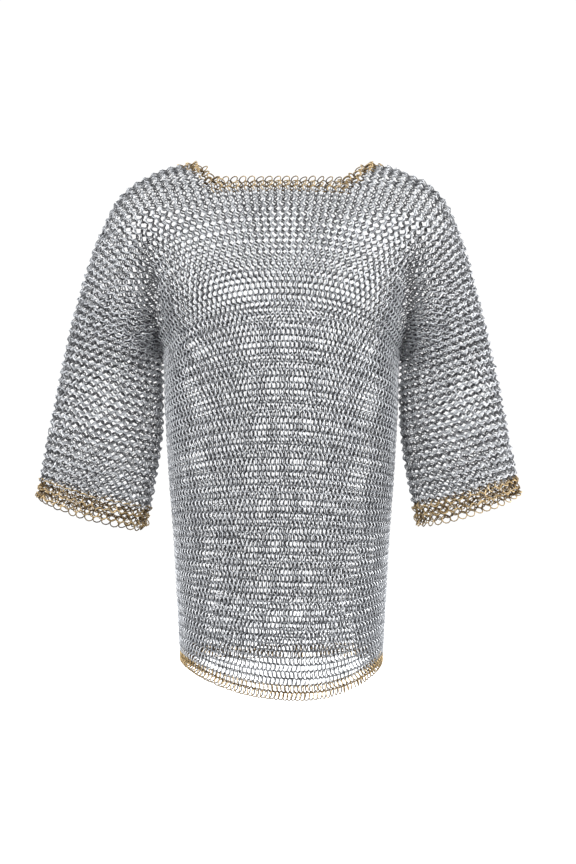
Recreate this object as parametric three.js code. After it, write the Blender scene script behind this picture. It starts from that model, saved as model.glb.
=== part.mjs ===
// A short mail shirt in the form it takes when worn: a T-shaped net of linked rings that hangs from the
// shoulders, with elbow-length sleeves and brass rings along the neck, cuffs and hem.
//
// The net is described by its own lattice. A row is a line of rings that runs across the chest and on
// down each arm, and below the armpits it runs round the body. A column crosses the rows. Any point of
// the cloth has a column number, counted from the centre line out to the cuff, and a row number, counted
// from the shoulder line down to the hem. Each panel is the stretch of that net between its own seams,
// made into a wall as thick as the layer of tilted rings.
//
// Units are millimetres. +X is the wearer's left, -Y is the front, +Z is up. The origin lies midway
// between the tops of the shoulders, where the wearer holds the shirt.

import * as THREE from 'three';

// Driving dimensions
const WALL = 5; // thickness of the layer of tilted rings
const SEAM_INSET = 0.16; // each panel stops this far short of a seam
const ARMPIT_ROW = 33;
const HEM_ROW = 90.7;
const SIDE_COLUMN = 34; // the side of the body, below the armpit
const CUFF_COLUMN = 56;
const RAIL_COLUMN = 9.4; // the corner of the neck, on the shoulder line

// The shoulder and arm line, from the corner of the neck over the shoulder to the cuff
const ARM_LINE = [
  { x: 126, y: 0, z: -5 },
  { x: 169, y: 0, z: -16 },
  { x: 212, y: 0, z: -38 },
  { x: 234, y: 0, z: -60 },
  { x: 248, y: 0, z: -88 },
  { x: 261, y: 0, z: -120 },
  { x: 282, y: -2, z: -191 },
  { x: 303, y: -5, z: -276 },
  { x: 322, y: -9, z: -371 },
  { x: 344, y: -14, z: -487 },
];

// The line under the arm, from the armpit to the cuff
const UNDERARM_LINE = [
  { x: 168, y: 0, z: -275 },
  { x: 173, y: 0, z: -292 },
  { x: 172.5, y: -1, z: -340 },
  { x: 173, y: -3, z: -390 },
  { x: 178, y: -6, z: -430 },
  { x: 186, y: -9, z: -480 },
  { x: 196, y: -14, z: -531 },
];

// How far the cloth stands out in front of and behind the arm line, by column
const ARM_DEPTH = [
  { column: 0, front: 125, back: 115 },
  { column: 14, front: 120, back: 113 },
  { column: 20, front: 106, back: 102 },
  { column: 24, front: 92, back: 90 },
  { column: 28, front: 80, back: 78 },
  { column: 34, front: 66, back: 64 },
  { column: 42, front: 57, back: 56 },
  { column: 56, front: 47, back: 47 },
];

// Body sections from the armpit to the hem: half width, depth in front and behind, height of the row at
// the side, the front centre and the back centre, and how much wider the rings are spaced at the side
const BODY = [
  { row: 33, half: 168, front: 125, back: 115, sideZ: -275, frontZ: -214, backZ: -222, spread: 0.2 },
  { row: 36, half: 163.5, front: 127, back: 114, sideZ: -298, frontZ: -242, backZ: -249, spread: 0.2 },
  { row: 43, half: 162, front: 129, back: 112, sideZ: -352, frontZ: -308, backZ: -312, spread: 0.2 },
  { row: 55, half: 157, front: 131, back: 110, sideZ: -445, frontZ: -421, backZ: -418, spread: 0.18 },
  { row: 67, half: 150, front: 131, back: 110, sideZ: -537, frontZ: -534, backZ: -525, spread: 0.15 },
  { row: 79, half: 144.5, front: 128, back: 112, sideZ: -630, frontZ: -647, backZ: -631, spread: 0.12 },
  { row: 90.7, half: 140, front: 124, back: 114, sideZ: -720, frontZ: -757, backZ: -735, spread: 0.1 },
];
const BODY_ROUNDNESS = 2.3; // exponent of the body section, where 2 is an ellipse

// The neck opening: its flat edge's row and half width in columns, the last row of its trim, and where
// the shoulder line would pass over the middle of the opening
const NECK = {
  front: { row: 10, column: 6.6, trimRow: 12.5, peakZ: 1 },
  back: { row: 6, column: 7.4, trimRow: 8.5, peakZ: -4 },
};
const NECK_TRIM_COLUMNS = 1.2;

// Below the neck the cloth runs straighter down to the chest than an ellipse does
const CHEST_SLOPE = { front: 0.45, back: 0, fullColumn: 8, endColumn: 24 };

// The fold between chest and sleeve, deepest above the armpit
const CREASE = { topX: 189, topZ: -115, bottomX: 171, bottomZ: -275, width: 20 };
const CREASE_SHARE = { front: 0.6, back: 0.5 }; // how much of the cloth's depth the fold takes
const CREASE_FADE = { start: -100, full: -235, end: -275, gone: -325 };

// The shoulder end of the armhole, and how the armhole curves from there to the armpit
const ARMHOLE = { column: 15, curve: 1.25 };
const CUFF_BOW = 7; // the cuff's edge hangs lower in front and behind

// The two sides don't hang quite alike: how far each sleeve swings out, how much higher its cuff
// sits, and how much lower that side of the front hem hangs
const SIDES = {
  left: { mirror: 1, swing: -4.5, lift: 6, sag: 5 },
  right: { mirror: -1, swing: 4.5, lift: 0, sag: -5 },
};
const ROW_SPREAD = 0.2; // rows crowd at the neck and part towards the armpit, at the centre

const CUFF_TRIM_COLUMN = 53.3;
const HEM_TRIM_ROW = 88.5;

// How finely the walls are divided
const NECK_STEPS = 3;
const CHEST_STEPS = 9;
const SLEEVE_STEPS = 14;
const BODY_STEPS = 10;
const YOKE_ROWS = {
  front: [0, 2.5, 5, 7.5, 10, 12.5, 15.4, 18.3, 21.2, 24.1, 27, 30, 33],
  back: [0, 2, 4, 6, 8.5, 11.5, 14.5, 17.5, 20.5, 23.5, 26.6, 29.8, 33],
};
const CURVE_SAMPLES = 60;

const STEEL = { color: 0x9aa0a6, roughness: 0.38, metalness: 0.95 };
const BRASS = { color: 0xa87b3f, roughness: 0.36, metalness: 0.95 };

// Small helpers

function smoothstep(from, to, value) {
  const share = THREE.MathUtils.clamp((value - from) / (to - from), 0, 1);
  return share * share * (3 - 2 * share);
}

// A smooth curve through a table's rows, read at a value of its first column
function readTable(table, by, column, value) {
  const last = table.length - 1;
  let i = 0;
  while (i < last - 1 && value > table[i + 1][by]) i += 1;
  const at = (k) => table[THREE.MathUtils.clamp(k, 0, last)];
  const slope = (k) => {
    const before = at(k - 1);
    const after = at(k + 1);
    return (after[column] - before[column]) / (after[by] - before[by]);
  };
  const span = at(i + 1)[by] - at(i)[by];
  const u = THREE.MathUtils.clamp((value - at(i)[by]) / span, 0, 1);
  const u2 = u * u;
  const u3 = u2 * u;
  return (
    (2 * u3 - 3 * u2 + 1) * at(i)[column] +
    (u3 - 2 * u2 + u) * span * slope(i) +
    (3 * u2 - 2 * u3) * at(i + 1)[column] +
    (u3 - u2) * span * slope(i + 1)
  );
}

// The point at a share of a sampled curve's length
function alongPoints(points, share) {
  const lengths = [0];
  for (let i = 1; i < points.length; i += 1) {
    lengths.push(lengths[i - 1] + points[i].distanceTo(points[i - 1]));
  }
  const target = THREE.MathUtils.clamp(share, 0, 1) * lengths[lengths.length - 1];
  let i = 1;
  while (i < points.length - 1 && lengths[i] < target) i += 1;
  const part = (target - lengths[i - 1]) / (lengths[i] - lengths[i - 1]);
  return points[i - 1].clone().lerp(points[i], part);
}

function splineOf(line) {
  const points = line.map((p) => new THREE.Vector3(p.x, p.y, p.z));
  return new THREE.CatmullRomCurve3(points, false, 'centripetal').getSpacedPoints(200);
}

const armLine = splineOf(ARM_LINE);
const underarmLine = splineOf(UNDERARM_LINE);

// Shape of the net

// A share of a curve's length at which a ring sits, when rings part more towards the far end
function spreadShare(share, spread) {
  return (1 - spread) * share + spread * share * share;
}

function shoulderPoint(column, face) {
  if (column >= RAIL_COLUMN) {
    return alongPoints(armLine, (column - RAIL_COLUMN) / (CUFF_COLUMN - RAIL_COLUMN));
  }
  const share = column / RAIL_COLUMN;
  const drop = (NECK[face].peakZ - ARM_LINE[0].z) * share * share;
  return new THREE.Vector3(ARM_LINE[0].x * share, 0, NECK[face].peakZ - drop);
}

// A point of the body's section on a row at or below the armpit
function bodyPoint(column, row, face) {
  const read = (name) => readTable(BODY, 'row', name, row);
  const half = read('half');
  const depth = read(face);
  const sideZ = read('sideZ');
  const centreZ = read(`${face}Z`);
  const forward = face === 'front' ? -1 : 1;
  const power = 2 / BODY_ROUNDNESS;
  const points = [];
  for (let i = 0; i <= CURVE_SAMPLES; i += 1) {
    const angle = (Math.PI / 2) * (i / CURVE_SAMPLES);
    const sine = Math.sin(angle);
    points.push(new THREE.Vector3(
      half * sine ** power,
      forward * depth * Math.max(Math.cos(angle), 0) ** power,
      centreZ + (sideZ - centreZ) * sine * sine,
    ));
  }
  return alongPoints(points, spreadShare(column / SIDE_COLUMN, read('spread')));
}

// The fold beside the armpit pulls the cloth in towards the arm's line
function creased(point, face) {
  const down = (point.z - CREASE.topZ) / (CREASE.bottomZ - CREASE.topZ);
  const middle = THREE.MathUtils.lerp(CREASE.topX, CREASE.bottomX, THREE.MathUtils.clamp(down, 0, 1));
  const aside = (point.x - middle) / CREASE.width;
  const depth =
    CREASE_SHARE[face] *
    smoothstep(CREASE_FADE.start, CREASE_FADE.full, point.z) *
    (1 - smoothstep(CREASE_FADE.end, CREASE_FADE.gone, point.z));
  return new THREE.Vector3(point.x, point.y * (1 - depth * Math.exp(-aside * aside)), point.z);
}

// A column from the shoulder line down to the armpit's row: an arc of an ellipse whose depth is the
// cloth's, and which closes under the arm on the sleeve
function yokeColumn(column, face) {
  const top = shoulderPoint(column, face);
  const onBody = column <= SIDE_COLUMN;
  const bottom = onBody
    ? bodyPoint(column, ARMPIT_ROW, face)
    : alongPoints(underarmLine, (column - SIDE_COLUMN) / (CUFF_COLUMN - SIDE_COLUMN));
  const forward = face === 'front' ? -1 : 1;
  const reach = onBody ? Math.abs(bottom.y) : 0;
  const depth = Math.max(readTable(ARM_DEPTH, 'column', face, column), reach);
  const { fullColumn, endColumn } = CHEST_SLOPE;
  const power = 1 + CHEST_SLOPE[face] * (1 - smoothstep(fullColumn, endColumn, column));
  const lastAngle = Math.PI - Math.asin(Math.min((reach / depth) ** (1 / power), 1));
  const across = new THREE.Vector3(bottom.x - top.x, onBody ? 0 : bottom.y - top.y, bottom.z - top.z);
  const bow = CUFF_BOW * smoothstep(SIDE_COLUMN, CUFF_COLUMN, column);
  const points = [];
  for (let i = 0; i <= CURVE_SAMPLES; i += 1) {
    const angle = lastAngle * (i / CURVE_SAMPLES);
    const share = (1 - Math.cos(angle)) / (1 - Math.cos(lastAngle));
    const point = top.clone().addScaledVector(across, share);
    point.y += forward * depth * Math.max(Math.sin(angle), 0) ** power;
    point.z -= bow * Math.sin(angle);
    points.push(creased(point, face));
  }
  return points;
}

// The point of the cloth at a column and a row, on the wearer's left
function clothPoint(column, row, face) {
  if (row >= ARMPIT_ROW && column <= SIDE_COLUMN) {
    return creased(bodyPoint(column, row, face), face);
  }
  const share = row / ARMPIT_ROW;
  const spread = ROW_SPREAD * (1 - smoothstep(0, SIDE_COLUMN, column));
  return alongPoints(yokeColumn(column, face), spreadShare(share, spread));
}

// Carries a point to its own side of the shirt, with that side's way of hanging
function hung(point, column, row, face, side) {
  const { mirror, swing, lift, sag } = SIDES[side];
  const outer = smoothstep(ARMHOLE.column, SIDE_COLUMN, column) * Math.max(1 - row / ARMPIT_ROW, 0);
  const armEnd = smoothstep(SIDE_COLUMN, CUFF_COLUMN, column);
  const hemEnd = face === 'front' ? smoothstep(ARMPIT_ROW, HEM_ROW, row) : 0;
  const slope = Math.sin((Math.PI * Math.min(column, SIDE_COLUMN)) / SIDE_COLUMN);
  return new THREE.Vector3(
    mirror * (point.x + swing * outer),
    point.y,
    point.z + lift * armEnd - sag * hemEnd * slope,
  );
}

// The net of quads that all panels share

function armholeColumn(row) {
  const share = Math.min(row / ARMPIT_ROW, 1);
  return ARMHOLE.column + (SIDE_COLUMN - ARMHOLE.column) * share ** ARMHOLE.curve;
}

// The column of each grid line of the body, which follow the neck's edge above and part evenly below
function bodyColumns(row, face) {
  const { row: edgeRow, column: edgeColumn, trimRow } = NECK[face];
  const even = SIDE_COLUMN / (NECK_STEPS + CHEST_STEPS);
  const open = RAIL_COLUMN + (edgeColumn - RAIL_COLUMN) * Math.min(row / edgeRow, 1);
  const blend = smoothstep(trimRow, ARMPIT_ROW, row);
  const edge = THREE.MathUtils.lerp(open, even * NECK_STEPS, blend);
  const trim = THREE.MathUtils.lerp(NECK_TRIM_COLUMNS, even, blend);
  const columns = [];
  for (let i = 0; i <= NECK_STEPS; i += 1) columns.push((edge * i) / NECK_STEPS);
  for (let i = 0; i < CHEST_STEPS; i += 1) {
    const from = edge + trim;
    columns.push(from + ((armholeColumn(row) - from) * i) / (CHEST_STEPS - 1));
  }
  return columns;
}

function sleeveColumns(row) {
  const from = armholeColumn(row);
  const columns = [];
  for (let i = 0; i <= SLEEVE_STEPS; i += 1) {
    columns.push(from + ((CUFF_TRIM_COLUMN - from) * i) / SLEEVE_STEPS);
  }
  columns.push(CUFF_COLUMN);
  return columns;
}

// Grid points are kept once each, so that panels that meet share their points and normals
const places = [];
const normals = [];
const placeNumbers = new Map();
const cells = [];

function placeNumber(column, row, face, side) {
  const place = hung(clothPoint(column, row, face), column, row, face, side);
  const key = [place.x, place.y, place.z].map((v) => Math.round(v * 20)).join(' ');
  if (!placeNumbers.has(key)) {
    placeNumbers.set(key, places.length);
    places.push(place);
    normals.push(new THREE.Vector3());
  }
  return placeNumbers.get(key);
}

function addCell(panel, corners, face, side) {
  const numbers = corners.map(([column, row]) => placeNumber(column, row, face, side));
  const turned = (face === 'front') === (side === 'left');
  cells.push({ panel, corners: turned ? numbers : numbers.reverse() });
}

function addStrip(rowA, rowB, columnsA, columnsB, panelOf, face, side) {
  for (let i = 0; i + 1 < columnsA.length; i += 1) {
    const panel = panelOf(i);
    if (panel) {
      const corners = [[columnsA[i], rowA], [columnsB[i], rowB], [columnsB[i + 1], rowB], [columnsA[i + 1], rowA]];
      addCell(panel, corners, face, side);
    }
  }
}

function yokePanel(step, row, face) {
  const aside = step - NECK_STEPS;
  if (row < NECK[face].row) return aside < 0 ? null : aside === 0 ? 'neck_trim' : face;
  return row < NECK[face].trimRow && aside <= 0 ? 'neck_trim' : face;
}

for (const side of ['left', 'right']) {
  for (const face of ['front', 'back']) {
    const rows = YOKE_ROWS[face];
    for (let r = 0; r + 1 < rows.length; r += 1) {
      const [a, b] = [rows[r], rows[r + 1]];
      addStrip(a, b, bodyColumns(a, face), bodyColumns(b, face), (i) => yokePanel(i, a, face), face, side);
      const sleevePanel = (i) => (i < SLEEVE_STEPS ? `sleeve_${side}` : `cuff_trim_${side}`);
      addStrip(a, b, sleeveColumns(a), sleeveColumns(b), sleevePanel, face, side);
    }
    for (let r = 0; r <= BODY_STEPS; r += 1) {
      const rowOf = (k) => ARMPIT_ROW + ((HEM_TRIM_ROW - ARMPIT_ROW) * k) / BODY_STEPS;
      const [a, b] = r < BODY_STEPS ? [rowOf(r), rowOf(r + 1)] : [HEM_TRIM_ROW, HEM_ROW];
      const panel = r < BODY_STEPS ? face : 'hem_trim';
      addStrip(a, b, bodyColumns(a, face), bodyColumns(b, face), () => panel, face, side);
    }
  }
}

for (const { corners } of cells) {
  const [a, b, c, d] = corners.map((n) => places[n]);
  const normal = c.clone().sub(a).cross(d.clone().sub(b)).normalize();
  corners.forEach((n) => normals[n].add(normal));
}
normals.forEach((normal) => normal.normalize());

// Walls

// Each directed edge of a cell, and the panel that lies on its left
const edgePanels = new Map();
for (const { panel, corners } of cells) {
  corners.forEach((from, i) => edgePanels.set(`${from} ${corners[(i + 1) % 4]}`, panel));
}

// A panel's own points, drawn in square to the seams that it shares with its neighbours
function insetPlaces(panelCells, panel) {
  const inward = new Map();
  for (const { corners } of panelCells) {
    corners.forEach((from, i) => {
      const to = corners[(i + 1) % 4];
      const neighbour = edgePanels.get(`${to} ${from}`);
      const onSeam = neighbour && neighbour !== panel;
      for (const n of [from, to]) {
        const directions = inward.get(n) ?? [];
        const along = places[to].clone().sub(places[from]);
        if (onSeam) directions.push(normals[n].clone().cross(along).normalize());
        inward.set(n, directions);
      }
    });
  }
  const inset = new Map();
  for (const [n, directions] of inward) {
    const step = directions.reduce((sum, d) => sum.add(d), new THREE.Vector3());
    const agree = directions.length === 2 ? 1 + directions[0].dot(directions[1]) : 1;
    inset.set(n, places[n].clone().addScaledVector(step, SEAM_INSET / agree));
  }
  return inset;
}

// A closed wall: the panel's points moved out and in by half the thickness, and its edges closed
function makeWall(panel) {
  const panelCells = cells.filter((cell) => cell.panel === panel);
  const inset = insetPlaces(panelCells, panel);
  const numbers = new Map([...inset.keys()].map((n, i) => [n, i]));
  const positions = [];
  for (const half of [WALL / 2, -WALL / 2]) {
    for (const [n, place] of inset) {
      positions.push(...place.clone().addScaledVector(normals[n], half).toArray());
    }
  }
  const inner = numbers.size;
  const index = [];
  const edges = new Map();
  for (const { corners } of panelCells) {
    const [a, b, c, d] = corners.map((n) => numbers.get(n));
    index.push(a, b, c, a, c, d);
    index.push(inner + a, inner + c, inner + b, inner + a, inner + d, inner + c);
    for (const [from, to] of [[a, b], [b, c], [c, d], [d, a]]) {
      if (!edges.delete(`${to} ${from}`)) edges.set(`${from} ${to}`, [from, to]);
    }
  }
  // The faces along a seam are split the same way on both of its panels, so that they stay parallel
  const shared = [...inset.keys()];
  for (const [from, to] of edges.values()) {
    if (shared[from] < shared[to]) {
      index.push(from, inner + from, inner + to, from, inner + to, to);
    } else {
      index.push(from, inner + from, to, to, inner + from, inner + to);
    }
  }
  const geometry = new THREE.BufferGeometry();
  geometry.setAttribute('position', new THREE.Float32BufferAttribute(positions, 3));
  geometry.setIndex(index);
  geometry.computeVertexNormals();
  return geometry;
}

const PANELS = [
  { name: 'front', finish: STEEL },
  { name: 'back', finish: STEEL },
  { name: 'sleeve_left', finish: STEEL },
  { name: 'sleeve_right', finish: STEEL },
  { name: 'neck_trim', finish: BRASS },
  { name: 'cuff_trim_left', finish: BRASS },
  { name: 'cuff_trim_right', finish: BRASS },
  { name: 'hem_trim', finish: BRASS },
];

const shirt = new THREE.Group();
for (const { name, finish } of PANELS) {
  const mesh = new THREE.Mesh(makeWall(name), new THREE.MeshStandardMaterial(finish));
  mesh.name = name;
  shirt.add(mesh);
}

export default shirt;
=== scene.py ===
# %% [markdown]
# # A short mail shirt, ring by ring
#
# A mail shirt is a net of linked wire rings. Every ring passes through four others, two in the row
# above and two in the row below. The maker knits the net in panels, a front, a back and two sleeves,
# and joins them with more rings, so a seam is only a line of rings that both panels share.
#
# The CAD model holds each panel as a smooth wall, as thick as the layer of rings. Here the walls are
# hidden and about 15,000 rings take their place. They're laid out on the same surface, settled until
# most links are no longer than two linked rings allow, tilted much as real rings lean on each other, and
# copied from one torus. Brass rings line the neck, the cuffs and the hem.

# %% Load the CAD model
import math
from itertools import product

import bpy
import numpy as np
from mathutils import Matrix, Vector
from mathutils.bvhtree import BVHTree


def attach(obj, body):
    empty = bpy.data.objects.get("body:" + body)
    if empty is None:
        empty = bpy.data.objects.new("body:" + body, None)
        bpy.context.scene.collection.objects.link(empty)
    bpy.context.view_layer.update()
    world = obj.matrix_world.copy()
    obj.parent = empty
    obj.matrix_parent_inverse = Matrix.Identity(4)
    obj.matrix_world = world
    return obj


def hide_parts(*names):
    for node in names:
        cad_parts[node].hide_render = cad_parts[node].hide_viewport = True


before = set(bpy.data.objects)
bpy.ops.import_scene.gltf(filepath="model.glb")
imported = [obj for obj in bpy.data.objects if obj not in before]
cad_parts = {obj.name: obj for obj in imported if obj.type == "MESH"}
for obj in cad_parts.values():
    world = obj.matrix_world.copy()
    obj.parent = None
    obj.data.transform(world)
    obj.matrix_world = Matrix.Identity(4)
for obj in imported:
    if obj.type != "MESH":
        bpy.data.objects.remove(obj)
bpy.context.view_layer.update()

MM = 0.001
rng = np.random.default_rng(27)

# %% [markdown]
# ## The ring and the lattice
#
# The wire is 1.6 mm thick and each ring is 10 mm across inside, the common size of such mail. The
# ends of each ring only butt together, and the shirt's weight has opened them a little, so the middle
# of the wire runs at a radius of 5.9 mm. Two linked rings can stand about 10 mm apart.
#
# The net has its own lattice. A row runs across the chest and on down each arm, and below the armpits
# it runs round the body. A column crosses the rows. Columns are counted from the centre line out to
# the cuff, and rows from the shoulder line down to the hem.

# %% Ring and lattice
WIRE = 0.8 * MM  # half the wire's thickness
RING = 5.92 * MM  # radius of the wire's middle line
LINK = 9.6 * MM  # the length that every link is pulled or pushed towards
TOUCH = 1.45 * MM  # the middles of two touching wires, each worn a little where they rub

ARMPIT_ROW = 33
LAST_ROW = 90
HEM_ROW = 90.7  # the cloth's lower edge
SIDE_COLUMN = 34
CUFF_COLUMN = 56
NECK_COLUMN = 9.4  # the corner of the neck, on the shoulder line

FRONT, BACK = 0, 1
LEFT, RIGHT = 1, -1
print(f"ring: {2 * (RING - WIRE) / MM:.1f} mm inside, {2 * (RING + WIRE) / MM:.1f} mm outside")

# %% [markdown]
# ## The surface of the shirt
#
# The next cells give the cloth's middle surface, the same one the CAD panels were built on, in
# millimetres. It needs two ways to read between given values: a step that starts and ends softly, and
# a table whose columns follow smooth curves.

# %% Smooth steps and tables
def smoothstep(low, high, value):
    share = np.clip((value - low) / (high - low), 0, 1)
    return share * share * (3 - 2 * share)


def read_table(table, value):
    """Each column of a table at a value of its first one, along a smooth curve."""
    rows = np.array(table, float)
    at = rows[:, 0]
    i = int(np.clip(np.searchsorted(at, value) - 1, 0, len(at) - 2))

    def slope(k):
        before, after = max(k - 1, 0), min(k + 1, len(at) - 1)
        return (rows[after] - rows[before]) / (at[after] - at[before])

    span = at[i + 1] - at[i]
    u = np.clip((value - at[i]) / span, 0, 1)
    return (
        (2 * u**3 - 3 * u**2 + 1) * rows[i] + (u**3 - 2 * u**2 + u) * span * slope(i)
        + (3 * u**2 - 2 * u**3) * rows[i + 1] + (u**3 - u**2) * span * slope(i + 1)
    )


# %% [markdown]
# Lines in space come from a few points each. The curve runs through all of them, and rings are then
# spaced along it by length. A spread above nothing sets them closer at the start of the line.

# %% Lines through points
def smooth_line(points, steps=40):
    """Points along a centripetal Catmull-Rom curve through the given ones."""
    p = np.array(points, float)
    p = np.vstack([2 * p[0] - p[1], p, 2 * p[-1] - p[-2]])
    found = []
    for a, b, c, d in zip(p, p[1:], p[2:], p[3:]):
        ab, bc, cd = (max(np.sum((y - x) ** 2) ** 0.25, 1e-6) for x, y in ((a, b), (b, c), (c, d)))
        leave = ((b - a) / ab - (c - a) / (ab + bc) + (c - b) / bc) * bc
        arrive = ((c - b) / bc - (d - b) / (bc + cd) + (d - c) / cd) * bc
        u = np.linspace(0, 1, steps, endpoint=False)[:, None]
        found.append(
            (2 * u**3 - 3 * u**2 + 1) * b + (u**3 - 2 * u**2 + u) * leave
            + (3 * u**2 - 2 * u**3) * c + (u**3 - u**2) * arrive
        )
    return np.vstack([*found, p[-2]])


def line_lengths(points):
    """The length of a line from its start to each of its points."""
    steps = np.linalg.norm(np.diff(points, axis=0), axis=1)
    return np.concatenate([[0], np.cumsum(steps)])


def along(points, shares):
    """Points at shares of a line's length."""
    lengths = line_lengths(points)
    target = np.clip(shares, 0, 1) * lengths[-1]
    return np.stack([np.interp(target, lengths, points[:, k]) for k in range(3)], -1)


def spread_share(share, spread):
    return (1 - spread) * share + spread * share * share


# %% [markdown]
# The shirt hangs from a line along each shoulder and down the top of the arm. Under the arm a second
# line runs from the armpit to the cuff. Across the neck the shoulder line goes on through the air, to
# give the columns of the chest and the back a place to start.

# %% Shoulder and arm lines
ARM_LINE = [
    (126, 0, -5), (169, 0, -16), (212, 0, -38), (234, 0, -60), (248, 0, -88),
    (261, 0, -120), (282, -2, -191), (303, -5, -276), (322, -9, -371), (344, -14, -487),
]
UNDERARM_LINE = [
    (168, 0, -275), (173, 0, -292), (172.5, -1, -340), (173, -3, -390),
    (178, -6, -430), (186, -9, -480), (196, -14, -531),
]
NECK_PEAK = [1, -4]  # where the shoulder line would pass over the middle, seen from front and back

arm_line = smooth_line(ARM_LINE)
underarm_line = smooth_line(UNDERARM_LINE)


def shoulder_point(column, face):
    if column >= NECK_COLUMN:
        share = (column - NECK_COLUMN) / (CUFF_COLUMN - NECK_COLUMN)
        return along(arm_line, np.array([share]))[0]
    share = column / NECK_COLUMN
    x, _, z = ARM_LINE[0]
    peak = NECK_PEAK[face]
    return np.array([x * share, 0, peak - (peak - z) * share**2])


print(f"neck to cuff: {line_lengths(arm_line)[-1]:.0f} mm, armpit to cuff: "
      f"{line_lengths(underarm_line)[-1]:.0f} mm")

# %% [markdown]
# With the arm hanging down, the cloth between the chest and the sleeve folds in. The fold is a groove
# that follows a line down to the armpit, deepest just above it.

# %% The fold beside the armpit
FOLD_LINE = [(-115, 189), (-275, 171)]  # height and distance from the centre line, at both its ends
FOLD_HALF_WIDTH = 20
FOLD_DEEPENS = (-100, -235)  # between these heights
FOLD_FADES = (-275, -325)
FOLD_SHARE = [0.6, 0.5]  # how much of the shirt's depth the fold takes, in front and behind


def creased(points, face):
    """Pulls the cloth in along the fold beside the armpit."""
    (top, top_out), (foot, foot_out) = FOLD_LINE
    z = points[:, 2]
    down = np.clip((z - top) / (foot - top), 0, 1)
    aside = (points[:, 0] - (top_out + (foot_out - top_out) * down)) / FOLD_HALF_WIDTH
    depth = FOLD_SHARE[face] * smoothstep(*FOLD_DEEPENS, z) * (1 - smoothstep(*FOLD_FADES, z))
    moved = points.copy()
    moved[:, 1] *= 1 - depth * np.exp(-aside * aside)
    return moved


# %% [markdown]
# Below the armpits each row of the body is a rounded section, a little flatter than an ellipse. Its
# size and height come from a table of seven rows. The hem hangs lowest in the middle of the front.

# %% Rows of the body
# row, half width, depth in front and behind, height at the side, front and back, spread
BODY = [
    (33, 168, 125, 115, -275, -214, -222, 0.2),
    (36, 163.5, 127, 114, -298, -242, -249, 0.2),
    (43, 162, 129, 112, -352, -308, -312, 0.2),
    (55, 157, 131, 110, -445, -421, -418, 0.18),
    (67, 150, 131, 110, -537, -534, -525, 0.15),
    (79, 144.5, 128, 112, -630, -647, -631, 0.12),
    (90.7, 140, 124, 114, -720, -757, -735, 0.1),
]
BODY_ROUNDNESS = 2.3  # an ellipse has 2
SWEEP = np.linspace(0, 1, 81)  # the steps of each curve, from its start to its end


def body_line(row, columns, face):
    _, half, front, back, side_z, front_z, back_z, spread = read_table(BODY, row)
    depth, centre_z, forward = (front, front_z, -1) if face == FRONT else (back, back_z, 1)
    angle = SWEEP * math.pi / 2
    power = 2 / BODY_ROUNDNESS
    line = np.stack([
        half * np.sin(angle) ** power,
        forward * depth * np.maximum(np.cos(angle), 0) ** power,
        centre_z + (side_z - centre_z) * np.sin(angle) ** 2,
    ], 1)
    return along(line, spread_share(columns / SIDE_COLUMN, spread))


# %% [markdown]
# The yoke is the part above the armpits, with the sleeves. Each of its columns is a piece of an
# ellipse that starts on the shoulder or arm line. It ends at the top of the body, or on the line under
# the arm. The sleeve's rings bow down a little towards the cuff.

# %% Columns of the yoke
# column, depth in front of the arm line, depth behind it
ARM_DEPTH = [
    (0, 125, 115), (14, 120, 113), (20, 106, 102), (24, 92, 90),
    (28, 80, 78), (34, 66, 64), (42, 57, 56), (56, 47, 47),
]
CHEST_SLOPE = [0.45, 0]  # how much straighter than an ellipse the cloth runs down to the chest
CHEST_COLUMNS = (8, 24)  # over these columns the slope fades out
ROW_SPREAD = 0.2
CUFF_BOW = 7


def yoke_line(column, rows, face):
    top = shoulder_point(column, face)
    on_body = column <= SIDE_COLUMN
    if on_body:
        bottom = body_line(ARMPIT_ROW, np.array([column]), face)[0]
    else:
        share = (column - SIDE_COLUMN) / (CUFF_COLUMN - SIDE_COLUMN)
        bottom = along(underarm_line, np.array([share]))[0]
    reach = abs(bottom[1]) if on_body else 0
    depth = max(read_table(ARM_DEPTH, column)[1 + face], reach)
    power = 1 + CHEST_SLOPE[face] * (1 - smoothstep(*CHEST_COLUMNS, column))
    last = math.pi - math.asin(min((reach / depth) ** (1 / power), 1))
    angle = last * SWEEP
    across = bottom - top
    if on_body:
        across[1] = 0
    line = top + across * ((1 - np.cos(angle)) / (1 - math.cos(last)))[:, None]
    line[:, 1] += (depth if face == BACK else -depth) * np.maximum(np.sin(angle), 0) ** power
    line[:, 2] -= CUFF_BOW * smoothstep(SIDE_COLUMN, CUFF_COLUMN, column) * np.sin(angle)
    spread = ROW_SPREAD * (1 - smoothstep(0, SIDE_COLUMN, column))
    return along(creased(line, face), spread_share(rows / ARMPIT_ROW, spread))


# %% [markdown]
# No shirt hangs quite evenly. One sleeve swings out a little more, the other's cuff sits higher, and the
# front of the hem sags more on one side.

# %% The two sides
ARMHOLE = (15, 1.25)  # the armhole's column on the shoulder, and its curve down to the armpit
# how far in mm the sleeve swings out, its cuff lifts and the front of the hem sags
HANG = {LEFT: (-4.5, 6, 5), RIGHT: (4.5, 0, -5)}


def hung(points, column, row, face, side):
    """Carries points to their own side, which hangs a little differently from the other."""
    swing, lift, sag = HANG[side]
    outer = smoothstep(ARMHOLE[0], SIDE_COLUMN, column) * np.maximum(1 - row / ARMPIT_ROW, 0)
    arm_end = smoothstep(SIDE_COLUMN, CUFF_COLUMN, column)
    hem_end = smoothstep(ARMPIT_ROW, HEM_ROW, row) if face == FRONT else 0
    slope = np.sin(math.pi * np.minimum(column, SIDE_COLUMN) / SIDE_COLUMN)
    moved = points.copy()
    moved[..., 0] = side * (points[..., 0] + swing * outer)
    moved[..., 2] += lift * arm_end - sag * hem_end * slope
    return moved


# %% [markdown]
# The surface is sampled at every half column and every row. The samples give the rings their first
# places, and the quads between them are the surface that rings slide on while they settle.

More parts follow.
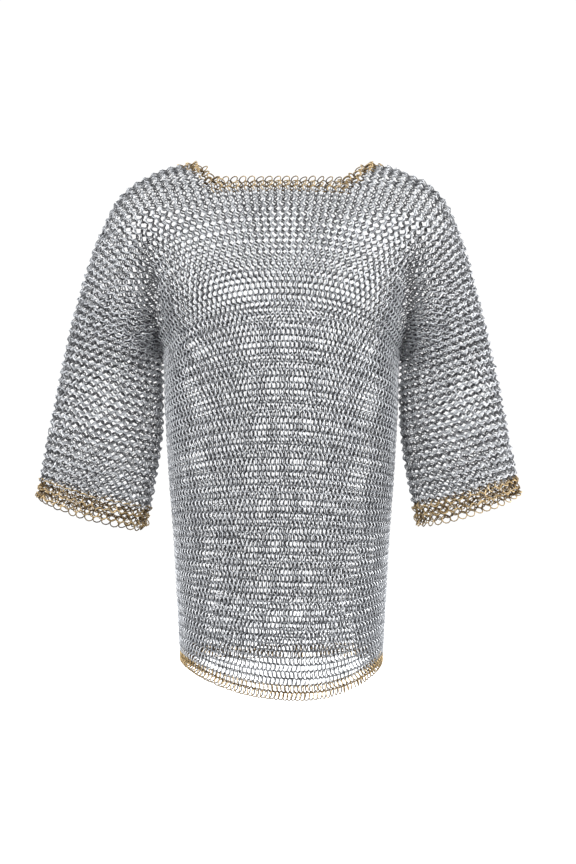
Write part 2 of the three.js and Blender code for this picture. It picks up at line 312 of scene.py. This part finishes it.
# %% Sample the surface
YOKE_ROWS = np.arange(ARMPIT_ROW + 1)
YOKE_HALVES = np.arange(2 * CUFF_COLUMN + 1)
BODY_ROWS = np.append(np.arange(ARMPIT_ROW, LAST_ROW + 1), HEM_ROW + 0.5)
BODY_HALVES = np.arange(2 * SIDE_COLUMN + 1)

yoke, body = {}, {}
surface_points, surface_quads = [], []
for face in (FRONT, BACK):
    yoke_grid = np.array([yoke_line(h / 2, YOKE_ROWS, face) for h in YOKE_HALVES])
    body_grid = np.array([creased(body_line(r, BODY_HALVES / 2, face), face) for r in BODY_ROWS])
    body_grid = body_grid.transpose(1, 0, 2)
    grids = ((yoke, yoke_grid, YOKE_HALVES, YOKE_ROWS), (body, body_grid, BODY_HALVES, BODY_ROWS))
    for side, (store, grid, halves, rows) in product((LEFT, RIGHT), grids):
        placed = hung(grid, halves[:, None] / 2, rows[None, :], face, side) * MM
        store[face, side] = placed
        count = sum(len(p) for p in surface_points)
        numbers = count + np.arange(placed.shape[0] * placed.shape[1]).reshape(placed.shape[:2])
        corners = [numbers[:-1, :-1], numbers[:-1, 1:], numbers[1:, 1:], numbers[1:, :-1]]
        quads = np.stack(corners, -1).reshape(-1, 4)
        if (face == FRONT) != (side == LEFT):
            quads = quads[:, ::-1]
        surface_points.append(placed.reshape(-1, 3))
        surface_quads.append(quads)
surface_points = np.vstack(surface_points)
surface_quads = np.vstack(surface_quads)
surface = BVHTree.FromPolygons(surface_points.tolist(), surface_quads.tolist())
print(f"surface: {len(surface_quads)} quads")

# %% [markdown]
# ## The lattice of rings
#
# Even rows have a ring on each whole column and odd rows on each half column, so every ring links with
# two rings above and two below. Where two panels meet, the ring is shared: along the shoulder, under
# the arm and down the side of the body. Rings inside the neck opening are left out.

# %% Rings
NECK_EDGE = [(10, 6.6), (6, 7.4)]  # row and half width in columns of the flat edge, front and back
NECK_MARGIN = 0.35  # a ring nearer to the opening's edge than this many columns is left out

PANEL_GRIDS = (
    (yoke, 0, YOKE_HALVES[:-1], YOKE_ROWS),
    (body, ARMPIT_ROW, BODY_HALVES, np.arange(ARMPIT_ROW + 1, LAST_ROW + 1)),
)


def same_ring(face, side, half, row):
    """The one key of a ring, from whichever panel it's named."""
    if half == 0:
        side = LEFT
    shared = row == 0 or (row == ARMPIT_ROW and half > 2 * SIDE_COLUMN)
    if shared or (row > ARMPIT_ROW and half == 2 * SIDE_COLUMN):
        face = FRONT
    return face, side, half, row


def in_neck(face, half, row):
    """Whether a ring would lie inside the neck opening."""
    edge_row, edge_column = NECK_EDGE[face]
    edge = NECK_COLUMN + (edge_column - NECK_COLUMN) * row / edge_row
    return row <= edge_row and half / 2 - edge < NECK_MARGIN


ring_number = {}
ring_key = []
ring_place = []
for side, face, (store, first, halves, rows) in product((LEFT, RIGHT), (FRONT, BACK), PANEL_GRIDS):
    for half, row in product(halves.tolist(), rows.tolist()):
        key = same_ring(face, side, half, row)
        if (half + row) % 2 == 0 and not in_neck(face, half, row) and key not in ring_number:
            ring_number[key] = len(ring_key)
            ring_key.append(key)
            ring_place.append(store[face, side][half, row - first])
place = np.array(ring_place)
keys = np.array(ring_key)
ring_count = len(keys)
print(f"rings: {ring_count}")

# %% [markdown]
# A step to a neighbour can cross the centre line or a seam. The new ring then belongs to the other
# half, or to the other face of the shirt.

# %% Links
def neighbour(key, step_half, step_row):
    """The ring some steps away, also across the centre line and the seams."""
    face, side, half, row = key
    new_half, new_row = half + step_half, row + step_row
    if new_half < 0:
        side, new_half = -side, -new_half
    if new_row < 0:
        face, new_row = 1 - face, -new_row
    if row <= ARMPIT_ROW < new_row and half > 2 * SIDE_COLUMN:
        face, new_row = 1 - face, 2 * ARMPIT_ROW - new_row
    elif row > ARMPIT_ROW and new_half > 2 * SIDE_COLUMN:
        face, new_half = 1 - face, 4 * SIDE_COLUMN - new_half
    return ring_number.get(same_ring(face, side, new_half, new_row))


links = []
for (number, key), step_half, step_row in product(enumerate(ring_key), (-1, 1), (-1, 1)):
    linked = neighbour(key, step_half, step_row)
    if linked is not None:
        links.append((number, linked, step_half * key[1], step_row))
links = np.array(links)
start, end = links[:, 0], links[:, 1]
link_count = np.bincount(start, minlength=ring_count)

# The two rings next to each ring in its own row, and in its own column, where it has both
between = []
for (number, key), (half_step, row_step) in product(enumerate(ring_key), ((2, 0), (0, 2))):
    pair = [neighbour(key, sign * half_step, sign * row_step) for sign in (-1, 1)]
    if None not in pair:
        between.append((number, *pair))
middle, before, after = np.array(between).T
between_count = np.maximum(np.bincount(middle, minlength=ring_count), 1)
print(f"links: {len(links) // 2}")

# %% [markdown]
# ## Settling the net
#
# The first places are even only on paper: some links come out too long and some too short. Rings are
# rigid, so a real net can't stretch. Each step pulls every link towards its length, and each ring
# towards the middle of its neighbours in the row and in the column. A ring only slides along the
# cloth, so it can't jump over the fold at the armpit, and every few steps the rings are put back on the
# surface. The hem, the cuffs and the neck's edge stay nearly in place.

# %% Settle
STEPS = 320
STEPS_OFF_SURFACE = 10
STRETCHED, SLACK = 1.0, 0.45  # how firmly a long link pulls and a short one pushes
EVENNESS = 0.3
HELD, HELD_AT_NECK, HELD_AT_EDGE = 0.004, 0.35, 0.6  # how firmly rings keep their first place


def summed(values, at=start):
    return np.stack([np.bincount(at, values[:, k], ring_count) for k in range(3)], 1)


def on_surface(points):
    """The nearest points of the surface and its outward normals there."""
    found = [surface.find_nearest(p)[:2] for p in points.tolist()]
    return np.array([f[0] for f in found]), np.array([f[1] for f in found])


def flat(vectors):
    """Vectors laid into the cloth's own plane."""
    return vectors - outward * np.sum(vectors * outward, axis=1)[:, None]


first_place = place.copy()
held = np.full(ring_count, HELD)
at_edge = (keys[:, 3] == LAST_ROW) | (keys[:, 2] >= 2 * CUFF_COLUMN - 1)
held[at_edge] = HELD_AT_EDGE
held[(link_count < 4) & ~at_edge] = HELD_AT_NECK

place, outward = on_surface(place)
for step in range(STEPS):
    reach = place[end] - place[start]
    length = np.linalg.norm(reach, axis=1)
    stiff = np.where(length > LINK, STRETCHED, SLACK)
    pull = reach * (stiff * (length - LINK) / length)[:, None]
    move = 0.5 * summed(pull) / link_count[:, None]
    bend = (place[before] + place[after]) / 2 - place[middle]
    move += EVENNESS * summed(bend, middle) / between_count[:, None]
    move += held[:, None] * (first_place - place)
    place += flat(move)
    if (step + 1) % STEPS_OFF_SURFACE == 0:
        place, outward = on_surface(place)

length = np.linalg.norm(place[end] - place[start], axis=1) / MM
too_long = length > 2 * (RING - WIRE) / MM
print("links in mm, 1% to 99%:", np.percentile(length, [1, 10, 50, 90, 99]).round(2))
print(f"longer than two rings allow: {too_long.mean():.1%} of the links, at most {length.max():.2f} mm")

# %% [markdown]
# ## How the rings lean
#
# First, each ring's own directions are measured from its links: along its row, and across to the next
# row. The gaps to its neighbours come from the same sums.

# %% Directions at each ring
def unit(vectors):
    return vectors / np.linalg.norm(vectors, axis=1)[:, None]


def signed_sum(sign):
    return summed((place[end] - place[start]) * sign[:, None])


along_row = flat(signed_sum(links[:, 2]))
down_column = flat(signed_sum(links[:, 3]))
row_gap = 2 * np.linalg.norm(along_row, axis=1) / link_count  # between two rings of one row
column_gap = np.linalg.norm(down_column, axis=1) / link_count  # between one row and the next
along_row = unit(along_row)
down_row = np.cross(outward, along_row)
print(f"gaps in mm: {np.median(row_gap) / MM:.1f} in a row, {np.median(column_gap) / MM:.1f} to the next")

# %% [markdown]
# Linked rings can't lie flat. The rings of a row all lean one way along the row, and the rings of the
# next row lean the other way, which gives mail its herringbone look. Under its own weight each ring
# leans as far as it can, until its wire touches the wires it's linked with. On the sleeves nothing
# pulls the net tight, so the rings there lie flatter and each one a little differently.

# %% Lean of each ring
LEAST_LEAN, MOST_LEAN = 28, 62  # degrees
LEAN_SPREAD = (3.5, 9)  # degrees, on the body and on the sleeves
ROLL_SPREAD = (5, 13)
SLEEVE_START = (-1, 7)  # columns past the armhole, between which the net goes slack
SLACK_FLATTER = 0.3  # how much less rings lean there


def line_to_armpit(curve):
    """The column of a line that curves from the armhole's top down to the armpit, at each ring."""
    down = np.minimum(rows / ARMPIT_ROW, 1)
    return ARMHOLE[0] + (SIDE_COLUMN - ARMHOLE[0]) * down**curve


def wire_gap(angle):
    """How close the middles of two linked wires come when the rings of both rows lean by an angle."""
    aside = np.clip(row_gap / (4 * RING * math.cos(angle)), 0, 0.999)
    crossing = np.sqrt(1 - aside**2)
    slant = crossing * math.cos(angle)
    return (2 * RING * crossing - column_gap) * slant / np.hypot(aside, slant)


def random_degrees(spread):
    return rng.normal(0, 1, ring_count) * np.radians(np.interp(loose, (0, 1), spread))


faces, sides, halves, rows = keys.T
columns = halves / 2
armhole = line_to_armpit(ARMHOLE[1])
loose = np.where(rows <= ARMPIT_ROW, smoothstep(*SLEEVE_START, columns - armhole), 0)

lean = np.full(ring_count, math.radians(LEAST_LEAN))
for degrees in range(LEAST_LEAN, MOST_LEAN + 1):
    angle = math.radians(degrees)
    lean = np.where(wire_gap(angle) >= TOUCH, angle, lean)
lean *= 1 - SLACK_FLATTER * loose
lean += random_degrees(LEAN_SPREAD)
roll = random_degrees(ROLL_SPREAD)
turn = rng.uniform(0, 2 * math.pi, ring_count)
lean *= np.where(rows % 2 == 0, 1, -1)
print("lean in degrees:", np.degrees(np.percentile(np.abs(lean), [5, 50, 95])).round(1))

face_on = outward * np.cos(lean)[:, None] + along_row * np.sin(lean)[:, None]
face_on = unit(face_on + down_row * np.tan(roll)[:, None])
across = unit(down_row - face_on * np.sum(down_row * face_on, axis=1)[:, None])
sideways = np.cross(across, face_on)

# %% [markdown]
# ## One ring, copied
#
# All rings start from one torus of ten segments with a three-sided wire. At its real size a ring is
# as small as a fingernail, so smooth shading rounds it off.

# %% The pattern ring
SEGMENTS, WIRE_SIDES = 10, 3
WIRE_SIDES_FACTOR = 1.21  # a three-sided wire this much wider covers as much as a round one

bpy.ops.object.select_all(action="DESELECT")
bpy.ops.mesh.primitive_torus_add(
    major_segments=SEGMENTS, minor_segments=WIRE_SIDES,
    major_radius=RING, minor_radius=WIRE_SIDES_FACTOR * WIRE,
)
pattern = bpy.context.object
pattern_points = np.array([v.co for v in pattern.data.vertices])
pattern_faces = np.array([p.vertices[:] for p in pattern.data.polygons])
pattern_uv = np.array([d.uv for d in pattern.data.uv_layers.active.data])
pattern_uv = pattern_uv.reshape(len(pattern_faces), 4, 2)
bpy.ops.object.delete()
print(f"one ring: {len(pattern_faces)} faces")

# %% [markdown]
# No two rings match quite, because each was cut from another turn of the coil, so each gets a tone of
# its own. The rings in the fold that runs down to the armpit get a darker tone: painted shade for the
# fold.

# %% A tone for each ring, with painted shade along the fold
TONE_EVENNESS = 2.2
FOLD_CURVE, FOLD_COLUMNS = 2.2, 1.7  # the curve of the line the painted shade follows, and its half width
FOLD_DARKENS = (10, 22)  # between these rows
FOLD_PAINTED_SHADE = 1.8

ring_tone_and_fold_shade = rng.beta(TONE_EVENNESS, TONE_EVENNESS, ring_count)
from_fold = (columns - line_to_armpit(FOLD_CURVE)) / FOLD_COLUMNS
in_fold = np.exp(-(from_fold**2)) * smoothstep(*FOLD_DARKENS, rows)
# Painted shade: the rings along the fold to the armpit are given a darker tone.
ring_tone_and_fold_shade -= FOLD_PAINTED_SHADE * np.where(rows <= ARMPIT_ROW, in_fold, 0)
print(f"rings darkened_as_painted_shade from the fold: {np.sum(ring_tone_and_fold_shade < 0)}")

# %% [markdown]
# A piece is one mesh of many copies, each turned to its own directions. A copy gets its own small
# square of the UV map. It also keeps two numbers that the material reads: the ring's tone, and how far
# each point stands out of the cloth, where the wire is painted lighter, and darker facing in: painted
# shade with some wear.

# %% Copy the ring
UV_MARGIN = 0.06  # of a ring's square, left free on each side


def turned_copies(chosen):
    """The pattern's points, turned as each chosen ring is, around each ring's middle."""
    axes = np.stack([sideways[chosen], across[chosen], face_on[chosen]], 1)
    spin = turn[chosen]
    x, y, z = pattern_points.T
    turned = np.stack([
        np.outer(np.cos(spin), x) - np.outer(np.sin(spin), y),
        np.outer(np.sin(spin), x) + np.outer(np.cos(spin), y),
        np.broadcast_to(z, (len(chosen), len(z))),
    ], -1)
    return np.einsum("rpk,rkc->rpc", turned, axes)


def ring_piece(name, chosen):
    """One mesh of all the chosen rings."""
    count = np.arange(len(chosen))
    offsets = turned_copies(chosen)
    points = (offsets + place[chosen][:, None]).reshape(-1, 3)
    quads = (pattern_faces[None] + len(pattern_points) * count[:, None, None]).reshape(-1, 4)
    mesh = bpy.data.meshes.new(name)
    mesh.from_pydata(points.tolist(), [], quads.tolist())

    grid = math.ceil(math.sqrt(len(chosen)))
    cell = np.stack([count % grid, count // grid], -1)
    uv = (cell[:, None, None] + UV_MARGIN + (1 - 2 * UV_MARGIN) * pattern_uv[None]) / grid
    mesh.uv_layers.new(name="OFBake").data.foreach_set("uv", uv.ravel())

    # How far each point stands out of the cloth; the material paints it lighter or darker from this, as
    # painted shade.
    height = np.einsum("rpc,rc->rp", offsets, outward[chosen]) / RING
    tone_and_fold_shade = np.repeat(ring_tone_and_fold_shade[chosen], len(pattern_points))
    for label, values in (("tone_and_fold_shade", tone_and_fold_shade), ("height", height.ravel())):
        mesh.attributes.new(label, "FLOAT", "POINT").data.foreach_set("value", values)
    mesh.validate()
    piece = bpy.data.objects.new(name, mesh)
    bpy.context.collection.objects.link(piece)
    bpy.ops.object.select_all(action="DESELECT")
    piece.select_set(True)
    bpy.context.view_layer.objects.active = piece
    bpy.ops.object.shade_smooth()
    return piece


# %% [markdown]
# ## Which ring belongs to which piece
#
# The brass rings come first: two rows at the neck and the hem, and the last rings of the sleeves. Of
# the rest, the armhole parts the sleeves from the front and the back. It starts on the shoulder and
# curves down to the armpit. The front and back are made in two halves, only to keep the meshes light.

# %% Sort the rings
NECK_BRASS = (2.5, 1.9)  # how many rows below and columns beside the opening are brass
CUFF_BRASS = 53.5  # brass from this column on
HEM_BRASS = 2  # rows

edge_row = np.where(faces == FRONT, NECK_EDGE[FRONT][0], NECK_EDGE[BACK][0])
edge_column = np.where(faces == FRONT, NECK_EDGE[FRONT][1], NECK_EDGE[BACK][1])
edge = NECK_COLUMN + (edge_column - NECK_COLUMN) * np.minimum(rows / edge_row, 1)
is_neck = (rows < edge_row + NECK_BRASS[0]) & (columns < edge + NECK_BRASS[1])
is_cuff = columns >= CUFF_BRASS
is_hem = rows > LAST_ROW - HEM_BRASS
brass = is_neck | is_cuff | is_hem
is_sleeve = (columns > armhole) & (rows <= ARMPIT_ROW) & ~brass
on_left = sides == LEFT

GROUPS = {
    "front_rings_left": ("front", ~brass & ~is_sleeve & (faces == FRONT) & on_left),
    "front_rings_right": ("front", ~brass & ~is_sleeve & (faces == FRONT) & ~on_left),
    "back_rings_left": ("back", ~brass & ~is_sleeve & (faces == BACK) & on_left),
    "back_rings_right": ("back", ~brass & ~is_sleeve & (faces == BACK) & ~on_left),
    "sleeve_rings_left": ("sleeve_left", is_sleeve & on_left),
    "sleeve_rings_right": ("sleeve_right", is_sleeve & ~on_left),
    "neck_rings": ("neck_trim", is_neck),
    "cuff_rings_left": ("cuff_trim_left", is_cuff & on_left),
    "cuff_rings_right": ("cuff_trim_right", is_cuff & ~on_left),
    "hem_rings": ("hem_trim", is_hem),
}
print(f"brass rings: {np.sum(brass)}")

# %% [markdown]
# ## Steel and brass
#
# A material is a tree of nodes. Two small classes make it readable: one adds and multiplies the
# numbers that run between nodes, and the other adds any node and links its sockets.

# %% Shader values
class Value:
    """A shader socket that can be added to and multiplied."""

    def __init__(self, tree, socket):
        self.tree, self.socket = tree, socket

    def _math(self, operation, first, second):
        node = self.tree.nodes.new("ShaderNodeMath")
        node.operation = operation
        for slot, value in enumerate((first, second)):
            if isinstance(value, Value):
                self.tree.links.new(value.socket, node.inputs[slot])
            else:
                node.inputs[slot].default_value = value
        return Value(self.tree, node.outputs[0])

    def __add__(self, other):
        return self._math("ADD", self, other)

    def __mul__(self, other):
        return self._math("MULTIPLY", self, other)

    def __sub__(self, other):
        return self._math("SUBTRACT", self, other)

    def __rsub__(self, other):
        return self._math("SUBTRACT", other, self)

    __radd__ = __add__
    __rmul__ = __mul__


class Shader:
    """A material's node tree, with one method that adds any node."""

    def __init__(self, name):
        self.material = bpy.data.materials.new(name)
        self.material.use_nodes = True
        self.tree = self.material.node_tree
        self.principled = self.tree.nodes["Principled BSDF"]

    def node(self, kind, settings=None, output=0, **sockets):
        """Adds a node. A socket is named, or has its number after an underscore."""
        node = self.tree.nodes.new(f"ShaderNode{kind}")
        for key, value in (settings or {}).items():
            setattr(node, key, value)
        for key, value in sockets.items():
            self.feed(node.inputs[int(key[1:]) if key[1:].isdigit() else key], value)
        return Value(self.tree, node.outputs[output])

    def feed(self, socket, value):
        if isinstance(value, Value):
            self.tree.links.new(value.socket, socket)
        else:
            socket.default_value = value

    def mix_colours(self, amount, first, second):
        return self.node("Mix", {"data_type": "RGBA"}, 2, _0=amount, _6=first, _7=second)

    def principle(self, **inputs):
        """Feeds the surface's own sockets, named with underscores for spaces."""
        for key, value in inputs.items():
            self.feed(self.principled.inputs[key.replace("_", " ")], value)


# %% [markdown]
# Both metals are bare drawn wire, dulled by handling. The outer side of each ring is rubbed smooth by
# its neighbours and painted lighter. The sides that face into the cloth hold some grime and are rougher,
# and are painted darker as shade. Soft blotches a hand wide keep the wear from being even over the whole
# shirt.

# %% Wire
SHADE_AND_RUB_BY_HEIGHT, RUB_TONE, RUB_BLOTCHES, RUB_LESS = 0.9, 0.5, 0.5, 0.1  # what the wear and the painted shade depend on; the height part is mostly painted shade
BLOTCHES_PER_METRE = 9
GRIME_ROUGHER, TONE_ROUGHER = 0.16, 0.06


def wire_material(name, dull, clear, grime_and_shade, roughness):
    shader = Shader(name)
    tone_and_fold_shade = shader.node("Attribute", {"attribute_name": "tone_and_fold_shade"}, output=2)
    height = shader.node("Attribute", {"attribute_name": "height"}, output=2)
    spot = shader.node("TexCoord", output=3)
    blotches = shader.node("TexNoise", Vector=spot, Scale=BLOTCHES_PER_METRE, Detail=3, Roughness=0.6)
    # Painted shade with grime: points facing into the cloth are painted darker, points standing out
    # lighter.
    rubbed_and_lit = height * SHADE_AND_RUB_BY_HEIGHT + tone_and_fold_shade * RUB_TONE + blotches * RUB_BLOTCHES - RUB_LESS
    worn_and_lit = shader.node("Clamp", Value=rubbed_and_lit)
    shader.principle(
        Base_Color=shader.mix_colours(worn_and_lit, grime_and_shade, shader.mix_colours(tone_and_fold_shade, dull, clear)),
        Roughness=roughness + GRIME_ROUGHER * (1 - worn_and_lit) + TONE_ROUGHER * tone_and_fold_shade,
        Metallic=1,
    )
    return shader.material


steel = wire_material(
    "steel_wire", dull=(0.54, 0.55, 0.57, 1), clear=(0.82, 0.83, 0.85, 1),
    grime_and_shade=(0.12, 0.12, 0.125, 1), roughness=0.34,
)
brass_wire = wire_material(
    "brass_wire", dull=(0.52, 0.36, 0.17, 1), clear=(0.82, 0.62, 0.35, 1),
    grime_and_shade=(0.11, 0.068, 0.03, 1), roughness=0.31,
)
print("materials:", steel.name, brass_wire.name)

# %% [markdown]
# ## Build the pieces
#
# Each piece hides the CAD panel that it stands for. Its flat cut is the net laid out on a table, as
# open as it hangs here, and measured ring by ring. A ring takes up the gap to the next one in its row,
# and twice the gap to the next row is what a column of rings gains from one ring to the next.

# %% Flat sizes
NECK_BAND = 18 * MM  # the brass band round the neck, two rings wide


def longest(labels, gaps):
    """The largest total of the gaps of rings with one label."""
    return np.bincount(np.unique(labels, return_inverse=True)[1], gaps).max()


def flat_cut(panel, chosen):
    """Width and length of a piece laid out flat, and its area."""
    face, side, half, row = keys[chosen].T
    area = (row_gap * column_gap)[chosen].sum()
    if panel == "neck_trim":
        return area / NECK_BAND, NECK_BAND, area
    if panel.startswith(("sleeve", "cuff")):
        around = longest(half, 2 * column_gap[chosen])
        return around, longest(2 * row + face, row_gap[chosen]), area
    down = longest(4 * half + 2 * face + (side > 0), 2 * column_gap[chosen])
    return longest(row, row_gap[chosen]), down, area


# %% [markdown]
# Now every group of rings becomes a piece. It's painted as steel or brass, rides on the shirt's one
# body, and takes the place of its panel.

# %% Make and paint
made, cuts = {}, {}
for name, (panel, chosen) in GROUPS.items():
    chosen = np.flatnonzero(chosen)
    piece = ring_piece(name, chosen)
    is_trim = "trim" in panel
    piece.data.materials.append(brass_wire if is_trim else steel)
    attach(piece, "root")
    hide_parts(panel)
    made[name] = piece
    cuts[name] = flat_cut(panel, chosen)
    width, length, _ = cuts[name]
    print(f"{name}: {len(chosen)} rings, {width:.3f} x {length:.3f} m")

# %% [markdown]
# For the four steel panels, the flat area is held to at most width times length.

for name, piece in made.items():
    if "trim" not in GROUPS[name][0]:
        width, length, area = cuts[name]
        area = min(area, width * length)

# %% [markdown]
# ## Camera, floor and light
#
# The camera looks straight at the shirt from a little over two metres away.

# %% Camera
CAMERA_PLACE = (0.0094, -2.2, -0.392)
SENSOR_WIDTH, LENS = 36, 63.66  # mm

bpy.ops.object.select_all(action="DESELECT")
bpy.ops.object.camera_add(location=CAMERA_PLACE, rotation=(math.pi / 2, 0, 0))
camera = bpy.context.object
camera.data.sensor_width = SENSOR_WIDTH
camera.data.lens = LENS
bpy.context.scene.camera = camera
print(f"camera: {-CAMERA_PLACE[1]} m away, {LENS} mm lens")

# %% [markdown]
# The floor and the backdrop are plain and pale. Bare metal would mirror them, so only the camera sees
# them, and the wires mirror the lamps and the room's soft light.

# %% Floor and backdrop
FLOOR_HEIGHT, FLOOR_RADIUS, BACKDROP_RADIUS = -1.3, 6, 8


def only_seen_by_camera(shape, material, colour, glow, roughness):
    """Paints a shape in one glowing colour and keeps it out of all mirror images."""
    plain = Shader(material)
    plain.principle(
        Base_Color=colour, Roughness=roughness,
        Emission_Color=(1, 1, 1, 1), Emission_Strength=glow,
    )
    shape.data.materials.append(plain.material)
    shape.visible_glossy = False
    shape.visible_diffuse = False


bpy.ops.mesh.primitive_circle_add(
    vertices=96, radius=FLOOR_RADIUS, fill_type="NGON", location=(0, 0, FLOOR_HEIGHT)
)
floor = bpy.context.object
floor.name = "floor"
only_seen_by_camera(floor, "pale_floor", (0.93, 0.93, 0.93, 1), glow=0.75, roughness=0.9)

bpy.ops.mesh.primitive_uv_sphere_add(segments=48, ring_count=24, radius=BACKDROP_RADIUS)
backdrop = bpy.context.object
backdrop.name = "backdrop"
only_seen_by_camera(backdrop, "white_backdrop", (0, 0, 0, 1), glow=1, roughness=0.5)
backdrop.visible_shadow = False
print(f"floor at {FLOOR_HEIGHT} m, backdrop {BACKDROP_RADIUS} m away")

# %% [markdown]
# The light is soft. A wide key lamp and a fill stand in front, one lamp at each side and one behind
# draw the edges, and the room gives the rest. Small lamps would burn the wires out to plain white.

# %% Lamps
# name, place and size in metres, power in watts
LAMPS = [
    ("key", (-2.2, -4.0, 2.6), (4.6, 4.6), 180),
    ("fill", (3.2, -3.4, 0.8), (3.6, 4.0), 105),
    ("side_left", (-3.6, 0.6, 0.4), (3.2, 3.2), 80),
    ("side_right", (3.6, 0.6, 0.4), (3.2, 3.2), 130),
    ("behind", (0.4, 3.6, 1.2), (3.6, 3.0), 60),
]
LAMP_AIM = (0, 0, -0.38)
ROOM_COLOUR, ROOM_STRENGTH = (0.93, 0.96, 1, 1), 0.64

for name, lamp_place, size, power in LAMPS:
    bpy.ops.object.light_add(type="AREA", location=lamp_place)
    light = bpy.context.object
    light.name = name
    light.data.shape = "RECTANGLE"
    light.data.size, light.data.size_y = size
    light.data.energy = power
    toward = Vector(LAMP_AIM) - Vector(lamp_place)
    light.rotation_mode = "QUATERNION"
    light.rotation_quaternion = toward.to_track_quat("-Z", "Y")

room = bpy.data.worlds.new("studio")
bpy.context.scene.world = room
room.use_nodes = True
background = room.node_tree.nodes["Background"]
background.inputs["Color"].default_value = ROOM_COLOUR
background.inputs["Strength"].default_value = ROOM_STRENGTH
bpy.context.scene.view_settings.view_transform = "Standard"
print(f"lamps: {len(LAMPS)}")
